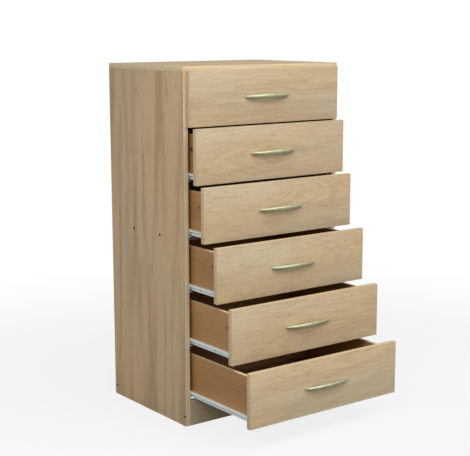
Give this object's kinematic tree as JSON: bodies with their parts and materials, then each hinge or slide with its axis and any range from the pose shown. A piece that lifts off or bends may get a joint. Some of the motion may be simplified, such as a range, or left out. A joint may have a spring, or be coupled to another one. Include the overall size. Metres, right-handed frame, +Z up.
{
  "type": "tall chest of drawers",
  "caption": "Tall chest with equal drawers one above the other, bow handles and roller runners, on a plinth.",
  "frame": {"origin": "on the floor, midway between the side panels, in the plane of the carcase's front edges", "axes": "+X to the right seen from the front, +Y to the back, +Z up; the drawers face -Y"},
  "size_m": [0.6, 0.7525, 1.1],
  "materials": {
    "oak_board": "pale oak-faced board with matching edging",
    "drawer_board": "brown foil-faced board",
    "drawer_bottom": "faced hardboard",
    "hardboard": "hardboard",
    "white_steel": "white epoxy coat",
    "satin_nickel": "satin nickel with a warm tint",
    "zinc_screws": "zinc plated",
    "dark_screws": "dark plated",
    "roller_plastic": "white nylon",
    "beech": "fluted beech"
  },
  "bodies": {
    "carcase": {"top_panel": "oak_board", "left_side_panel": "oak_board", "right_side_panel": "oak_board", "front_plinth": "oak_board", "rear_rail": "oak_board", "middle_shelf": "oak_board", "back_panel": "hardboard", "cabinet_runners": "white_steel", "runner_screws": "zinc_screws", "confirmat_screws": "dark_screws", "top_cam_fittings": "zinc_screws", "top_dowels": "beech"},
    "drawer_1": {"drawer_1_front": "oak_board", "drawer_1_box_boards": "drawer_board", "drawer_1_bottom": "drawer_bottom", "drawer_1_handle": "satin_nickel", "drawer_1_runner_members": "white_steel", "drawer_1_fixings": "zinc_screws"},
    "rear_rollers_1": {"drawer_1_rear_rollers": "roller_plastic"},
    "front_rollers_1": {"drawer_1_front_rollers": "roller_plastic"},
    "drawer_2": {"drawer_2_front": "oak_board", "drawer_2_box_boards": "drawer_board", "drawer_2_bottom": "drawer_bottom", "drawer_2_handle": "satin_nickel", "drawer_2_runner_members": "white_steel", "drawer_2_fixings": "zinc_screws"},
    "rear_rollers_2": {"drawer_2_rear_rollers": "roller_plastic"},
    "front_rollers_2": {"drawer_2_front_rollers": "roller_plastic"},
    "drawer_3": {"drawer_3_front": "oak_board", "drawer_3_box_boards": "drawer_board", "drawer_3_bottom": "drawer_bottom", "drawer_3_handle": "satin_nickel", "drawer_3_runner_members": "white_steel", "drawer_3_fixings": "zinc_screws"},
    "rear_rollers_3": {"drawer_3_rear_rollers": "roller_plastic"},
    "front_rollers_3": {"drawer_3_front_rollers": "roller_plastic"},
    "drawer_4": {"drawer_4_front": "oak_board", "drawer_4_box_boards": "drawer_board", "drawer_4_bottom": "drawer_bottom", "drawer_4_handle": "satin_nickel", "drawer_4_runner_members": "white_steel", "drawer_4_fixings": "zinc_screws"},
    "rear_rollers_4": {"drawer_4_rear_rollers": "roller_plastic"},
    "front_rollers_4": {"drawer_4_front_rollers": "roller_plastic"},
    "drawer_5": {"drawer_5_front": "oak_board", "drawer_5_box_boards": "drawer_board", "drawer_5_bottom": "drawer_bottom", "drawer_5_handle": "satin_nickel", "drawer_5_runner_members": "white_steel", "drawer_5_fixings": "zinc_screws"},
    "rear_rollers_5": {"drawer_5_rear_rollers": "roller_plastic"},
    "front_rollers_5": {"drawer_5_front_rollers": "roller_plastic"},
    "drawer_6": {"drawer_6_front": "oak_board", "drawer_6_box_boards": "drawer_board", "drawer_6_bottom": "drawer_bottom", "drawer_6_handle": "satin_nickel", "drawer_6_runner_members": "white_steel", "drawer_6_fixings": "zinc_screws"},
    "rear_rollers_6": {"drawer_6_rear_rollers": "roller_plastic"},
    "front_rollers_6": {"drawer_6_front_rollers": "roller_plastic"}
  },
  "joints": [
    {"name": "drawer_1_slide", "type": "slide", "parent": "carcase", "child": "drawer_1", "axis": [0, -1, 0], "range_m": [0, 0.3]},
    {"name": "rear_rollers_1_spin", "type": "hinge", "parent": "drawer_1", "child": "rear_rollers_1", "pos_m": [0, 0.389, 0.94267], "axis": [1, 0, 0], "continuous": true},
    {"name": "front_rollers_1_spin", "type": "hinge", "parent": "carcase", "child": "front_rollers_1", "pos_m": [0, 0.014, 0.94267], "axis": [1, 0, 0], "continuous": true},
    {"name": "drawer_2_slide", "type": "slide", "parent": "carcase", "child": "drawer_2", "axis": [0, -1, 0], "range_m": [-0.0315, 0.2685]},
    {"name": "rear_rollers_2_spin", "type": "hinge", "parent": "drawer_2", "child": "rear_rollers_2", "pos_m": [0, 0.3575, 0.77333], "axis": [1, 0, 0], "continuous": true},
    {"name": "front_rollers_2_spin", "type": "hinge", "parent": "carcase", "child": "front_rollers_2", "pos_m": [0, 0.014, 0.77333], "axis": [1, 0, 0], "continuous": true},
    {"name": "drawer_3_slide", "type": "slide", "parent": "carcase", "child": "drawer_3", "axis": [0, -1, 0], "range_m": [-0.0695, 0.2305]},
    {"name": "rear_rollers_3_spin", "type": "hinge", "parent": "drawer_3", "child": "rear_rollers_3", "pos_m": [0, 0.3195, 0.604], "axis": [1, 0, 0], "continuous": true},
    {"name": "front_rollers_3_spin", "type": "hinge", "parent": "carcase", "child": "front_rollers_3", "pos_m": [0, 0.014, 0.604], "axis": [1, 0, 0], "continuous": true},
    {"name": "drawer_4_slide", "type": "slide", "parent": "carcase", "child": "drawer_4", "axis": [0, -1, 0], "range_m": [-0.1325, 0.1675]},
    {"name": "rear_rollers_4_spin", "type": "hinge", "parent": "drawer_4", "child": "rear_rollers_4", "pos_m": [0, 0.2565, 0.43467], "axis": [1, 0, 0], "continuous": true},
    {"name": "front_rollers_4_spin", "type": "hinge", "parent": "carcase", "child": "front_rollers_4", "pos_m": [0, 0.014, 0.43467], "axis": [1, 0, 0], "continuous": true},
    {"name": "drawer_5_slide", "type": "slide", "parent": "carcase", "child": "drawer_5", "axis": [0, -1, 0], "range_m": [-0.204, 0.096]},
    {"name": "rear_rollers_5_spin", "type": "hinge", "parent": "drawer_5", "child": "rear_rollers_5", "pos_m": [0, 0.185, 0.26533], "axis": [1, 0, 0], "continuous": true},
    {"name": "front_rollers_5_spin", "type": "hinge", "parent": "carcase", "child": "front_rollers_5", "pos_m": [0, 0.014, 0.26533], "axis": [1, 0, 0], "continuous": true},
    {"name": "drawer_6_slide", "type": "slide", "parent": "carcase", "child": "drawer_6", "axis": [0, -1, 0], "range_m": [-0.2915, 0.0085]},
    {"name": "rear_rollers_6_spin", "type": "hinge", "parent": "drawer_6", "child": "rear_rollers_6", "pos_m": [0, 0.0975, 0.096], "axis": [1, 0, 0], "continuous": true},
    {"name": "front_rollers_6_spin", "type": "hinge", "parent": "carcase", "child": "front_rollers_6", "pos_m": [0, 0.014, 0.096], "axis": [1, 0, 0], "continuous": true}
  ],
  "couplings": [
    {"joint": "rear_rollers_1_spin", "follows": "drawer_1_slide", "rad_per_m": 100},
    {"joint": "front_rollers_1_spin", "follows": "drawer_1_slide", "rad_per_m": 111.11},
    {"joint": "rear_rollers_2_spin", "follows": "drawer_2_slide", "rad_per_m": 100},
    {"joint": "front_rollers_2_spin", "follows": "drawer_2_slide", "rad_per_m": 111.11},
    {"joint": "rear_rollers_3_spin", "follows": "drawer_3_slide", "rad_per_m": 100},
    {"joint": "front_rollers_3_spin", "follows": "drawer_3_slide", "rad_per_m": 111.11},
    {"joint": "rear_rollers_4_spin", "follows": "drawer_4_slide", "rad_per_m": 100},
    {"joint": "front_rollers_4_spin", "follows": "drawer_4_slide", "rad_per_m": 111.11},
    {"joint": "rear_rollers_5_spin", "follows": "drawer_5_slide", "rad_per_m": 100},
    {"joint": "front_rollers_5_spin", "follows": "drawer_5_slide", "rad_per_m": 111.11},
    {"joint": "rear_rollers_6_spin", "follows": "drawer_6_slide", "rad_per_m": 100},
    {"joint": "front_rollers_6_spin", "follows": "drawer_6_slide", "rad_per_m": 111.11}
  ]
}
